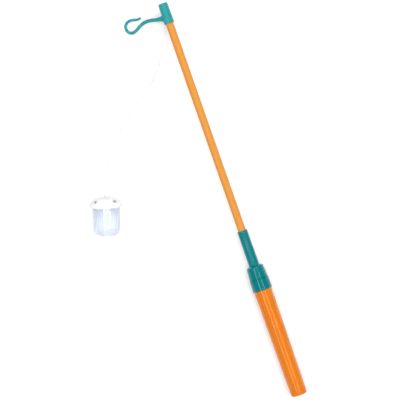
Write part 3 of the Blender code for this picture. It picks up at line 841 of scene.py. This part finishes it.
def tip_cap():
    """The cap on the tube's tip, with its hook joined on and its bore and notch cut out."""
    cad = Profile("tip_hook_cap", STICK)
    tube_profile = Profile("stick_tube", STICK)
    bottom, notch_top = cad.heights[:2]
    bottom_radius, top_radius = cad.outer(bottom), cad.outer(cad.high) + TIP_CHAMFER
    bore = tube_profile.outer(tube_profile.low) + GAP
    roof = tube_profile.high + GAP
    body = [
        (0, bottom, 0),
        (bottom_radius, bottom, EASED),
        (top_radius, cad.high, ROUND),
        (0, cad.high, 0),
    ]
    piece = turned("tip_cap", body, STICK)
    combine(piece, [hook_arm(cad.high, bottom_radius)], "UNION")
    below = bottom - CUTTER_OVERLAP
    hollow = [(0, below, 0), (bore, below, 0), (bore, roof, EASED), (0, roof, 0)]
    low = (0, -NOTCH_WIDTH / 2, below - NOTCH_ROUNDING)
    high = (2 * bottom_radius, NOTCH_WIDTH / 2, notch_top)
    tools = [
        turned("tip_bore", hollow, STICK),
        block("tip_notch", low, high, NOTCH_ROUNDING, TIP),
    ]
    combine(piece, tools, "DIFFERENCE")
    dress(piece, tip_teal, "stick", "teal_plastic", "tip_hook_cap")


# ---------------------------------------------------------------- lamp


def dome(radius, height, start, inner_edge):
    """Corners down a dome that is flat on top and falls away at its side."""
    corners = []
    for i in range(DOME_STEPS + 1):
        rise = math.sin(i / DOME_STEPS * math.pi / 2)
        reach = inner_edge / radius + (1 - inner_edge / radius) * rise
        fall = (1 - reach**DOME_FLATNESS) ** (1 / DOME_FALL)
        corners.append((radius * reach, start + height * (1 - fall), 0))
    return corners


def lamp_cap():
    """The white cap: a domed shell with a hole for the lead and windows in its shoulder."""
    cad = Profile("lamp_cap", LAMP)
    rim = cad.high
    radius = cad.outer(rim)
    inner = cad.inner(rim)
    wall = radius - inner
    hole = cad.inner(cad.low)
    corners = [
        *dome(radius, DOME_HEIGHT, 0, hole),
        (radius, rim, BLUNT),
        (inner, rim, BLUNT),
        *reversed(dome(inner, DOME_HEIGHT - wall, wall, hole)),
    ]
    piece = turned("lamp_shell", corners, LAMP)
    cutters = []
    for i in range(WINDOW_COUNT):
        turn = math.pi / 2 + WINDOW_TURN + 2 * math.pi * i / WINDOW_COUNT
        low = (radius / 2, -WINDOW_WIDTH / 2, WINDOW_DISTANCE - WINDOW_HEIGHT / 2)
        high = (
            radius + CUTTER_OVERLAP,
            WINDOW_WIDTH / 2,
            WINDOW_DISTANCE + WINDOW_HEIGHT / 2,
        )
        axis = LAMP @ Matrix.Rotation(turn, 4, "Z")
        cutters.append(block(f"window_{i + 1}", low, high, WINDOW_ROUNDING, axis))
    combine(piece, cutters, "DIFFERENCE")
    dress(piece, white, "stick", "white_plastic", "lamp_cap")


def lamp_holder():
    """The plug in the cap that carries the LED."""
    cad = Profile("lamp_holder", LAMP)
    outer, bore = cad.outer(cad.low), cad.inner(cad.low)
    corners = [
        (bore, cad.low, KEEN),
        (outer, cad.low, EASED),
        (outer, cad.high, ROUND),
        (bore, cad.high, KEEN),
    ]
    piece = turned("led_holder", corners, LAMP, SMALL_TURN_STEPS)
    dress(piece, white, "stick", "white_plastic", "lamp_holder")


def led():
    """The LED's flanged lens."""
    cad = Profile("led", LAMP)
    top, flange, dome_start = cad.heights[:3]
    radius = cad.outer(dome_start)
    corners = [
        (0, top, 0),
        (cad.outer(top), top, KEEN),
        (cad.outer(top), flange, CRISP),
        (radius, flange, KEEN),
        *arc(0, dome_start, radius, 0, 90),
    ]
    piece = turned("led_lens", corners, LAMP, SMALL_TURN_STEPS)
    dress(piece, lens, "stick", "led_lens", "led")


def led_posts():
    """The two posts inside the LED: the anvil with its bowl, and the thinner one beside it."""
    cad = Profile("led", LAMP)
    foot = cad.low + GAP
    top = cad.heights[1] + LED_POST_REACH
    pieces = []
    for name, (left, right) in LED_POSTS.items():
        low = (left, -LED_POST_DEPTH / 2, foot)
        high = (right, LED_POST_DEPTH / 2, top)
        pieces.append(block(name, low, high, KEEN, LAMP))
    bowl = [(radius, top + height, rounding) for radius, height, rounding in LED_BOWL]
    axis = LAMP @ Matrix.Translation((LED_BOWL_PLACE, 0, 0))
    pieces.append(turned("led_reflector", bowl, axis, SMALL_TURN_STEPS))
    for piece in pieces:
        dress(piece, nickel, "stick", "nickel")


def flute(mesh, radius, wall, foot, centre):
    """Presses shallow flutes into the globe's inner face, from its rim round to its foot."""
    inverse = LAMP.inverted()
    rim = Profile("lamp_globe", LAMP).low
    for vertex in mesh.vertices:
        place = inverse @ vertex.co
        out = math.hypot(place.x, place.y)
        past_foot = max(0.0, place.z - foot)
        from_skin = radius - centre - math.hypot(max(0.0, out - centre), past_foot)
        if from_skin < wall / 2 or out < centre:
            continue
        fade = min(1.0, (out - centre) / centre) * min(1.0, (place.z - rim) / (2 * wall))
        wave = 0.5 - 0.5 * math.cos(FLUTE_COUNT * math.atan2(place.y, place.x))
        shrink = 1 - FLUTE_DEPTH * wave * fade / out
        place.x *= shrink
        place.y *= shrink
        vertex.co = LAMP @ place


def lamp_globe():
    """The clear cup, with the bead that its rim holds by."""
    cad = Profile("lamp_globe", LAMP)
    rim, bead_bottom, bead_top = cad.heights[:3]
    radius, inner = cad.outer(rim), cad.inner(rim)
    bead = cad.outer(bead_bottom)
    wall = radius - inner
    foot = cad.high - GLOBE_CORNER
    centre = radius - GLOBE_CORNER
    corners = [
        (inner, rim, EASED),
        (radius, rim, EASED),
        (radius, bead_bottom, 0),
        (bead, bead_bottom, EASED),
        (bead, bead_top, EASED),
        (radius, bead_top, 0),
        *arc(centre, foot, GLOBE_CORNER, 0, 90),
        (0, cad.high, 0),
        (0, cad.high - wall, 0),
        *arc(centre, foot, GLOBE_CORNER - wall, 90, 0),
    ]
    piece = turned("lamp_cup", corners, LAMP, GLOBE_TURN_STEPS)
    flute(piece.data, radius, wall, foot, centre)
    dress(piece, clear, "globe", "clear_plastic", "lamp_globe")


# ---------------------------------------------------------------- inside the handle


def cell(node, name):
    """A cell with its crimped ends, and the button on its upper one."""
    cad = Profile(node, STICK)
    low, high = cad.low, cad.high
    radius = cad.outer((low + high) / 2)
    crimp = CELL_CRIMP_SHARE * radius
    corners = [
        (0, low + CELL_RECESS, 0),
        (crimp - CELL_RECESS, low + CELL_RECESS, 0),
        (crimp, low, KEEN),
        (radius, low, CELL_ROUNDING),
        (radius, high, ROUND),
        (crimp, high, KEEN),
        (crimp - CELL_RECESS, high - CELL_RECESS, 0),
        (0, high - CELL_RECESS, 0),
    ]
    band = low + CELL_BAND_SHARE * (high - low)
    jacket = cell_jacket(name + "_jacket", CELL_BLUE, STICK, band)
    piece = turned(name, corners, STICK, SMALL_TURN_STEPS)
    dress(piece, jacket, "handle", "cell_jacket", node)

    button = Profile(node + "_button", STICK)
    size = button.outer(button.low)
    corners = [
        (0, button.low, 0),
        (size, button.low, 0),
        (size, button.high, SOFT),
        (0, button.high, 0),
    ]
    tip = turned(name + "_button", corners, STICK, SMALL_TURN_STEPS)
    dress(tip, nickel, "handle", "nickel", node + "_button")


def contact_carrier():
    """The plug that reaches down into the handle, with a groove for the contact band."""
    cad = Profile("contact_carrier", STICK)
    bottom, bore_step, groove_bottom, groove_top, top = cad.heights
    radius, groove = cad.outer(bottom), cad.inner(groove_bottom)
    small_bore, bore = cad.inner(bottom), cad.inner(top)
    corners = [
        (small_bore, bottom, CRISP),
        (radius, bottom, ROUND),
        (radius, groove_bottom, KEEN),
        (groove, groove_bottom, KEEN),
        (groove, groove_top, KEEN),
        (radius, groove_top, KEEN),
        (radius, top, CRISP),
        (bore, top, KEEN),
        (bore, bore_step, KEEN),
        (small_bore, bore_step, KEEN),
    ]
    piece = turned("contact_plug", corners, STICK, SMALL_TURN_STEPS)
    dress(piece, black, "stick", "black_plastic", "contact_carrier")


def rivet():
    """The contact that meets the upper cell's button."""
    cad = Profile("positive_contact", STICK)
    bottom, under, top = cad.heights
    head, stem = cad.outer(bottom), cad.outer(top)
    corners = [
        (0, bottom, 0),
        (head, bottom, ROUND),
        (head, under, KEEN),
        (stem, under, KEEN),
        (stem, top, CRISP),
        (0, top, 0),
    ]
    piece = turned("rivet", corners, STICK, SMALL_TURN_STEPS)
    dress(piece, brass, "stick", "brass", "positive_contact")


def finish_cad_nodes():
    """The CAD nodes that keep their shape: wires, strip, plate and band."""
    finishes = {
        "negative_spring": nickel,
        "spring_plate": nickel,
        "led_anode_lead": nickel,
        "led_cathode_lead": nickel,
        "contact_strip": brass,
        "ring_contact": brass,
        "inner_lead": sheath,
    }
    for node, material in finishes.items():
        materials = frame["nodes"][node].data.materials
        materials.clear()
        materials.append(material)


# ---------------------------------------------------------------- floor and lights


def floor():
    bm = bmesh.new()
    bmesh.ops.create_grid(bm, x_segments=1, y_segments=1, size=FLOOR_SIZE)
    piece = piece_from("floor", bm, Matrix.Translation((0, 0, -GAP / 2)))
    finish = Finish("pale_floor")
    finish.fix(Base_Color=shade(FLOOR_GREY), Roughness=0.9, Specular_IOR_Level=0.0)
    piece.data.materials.append(finish.material)


def soft_box(name, place, size, power, in_gloss):
    """A rectangular light aimed at the object; the second of its sides is the level one."""
    data = bpy.data.lights.new(name, "AREA")
    data.shape = "RECTANGLE"
    data.size, data.size_y = size
    data.energy = power
    light = bpy.data.objects.new(name, data)
    light.location = place
    light.rotation_euler = (-Vector(place)).to_track_quat("-Z", "X").to_euler()
    light.visible_glossy = in_gloss
    bpy.context.scene.collection.objects.link(light)


def lights():
    world = bpy.data.worlds.new("studio")
    world.use_nodes = True
    background = world.node_tree.nodes["Background"]
    background.inputs["Color"].default_value = (1, 1, 1, 1)
    background.inputs["Strength"].default_value = WORLD_STRENGTH
    bpy.context.scene.world = world
    for light in LIGHTS:
        soft_box(*light)
    bpy.context.scene.view_settings.view_transform = "Standard"


# ---------------------------------------------------------------- assembly

add_camera()
add_cord()
handle()
switch_ring()
socket()
tube()
tip_cap()
lamp_cap()
lamp_holder()
led()
led_posts()
lamp_globe()
cell("cell_lower", "lower_cell")
cell("cell_upper", "upper_cell")
contact_carrier()
rivet()
finish_cad_nodes()
floor()
lights()
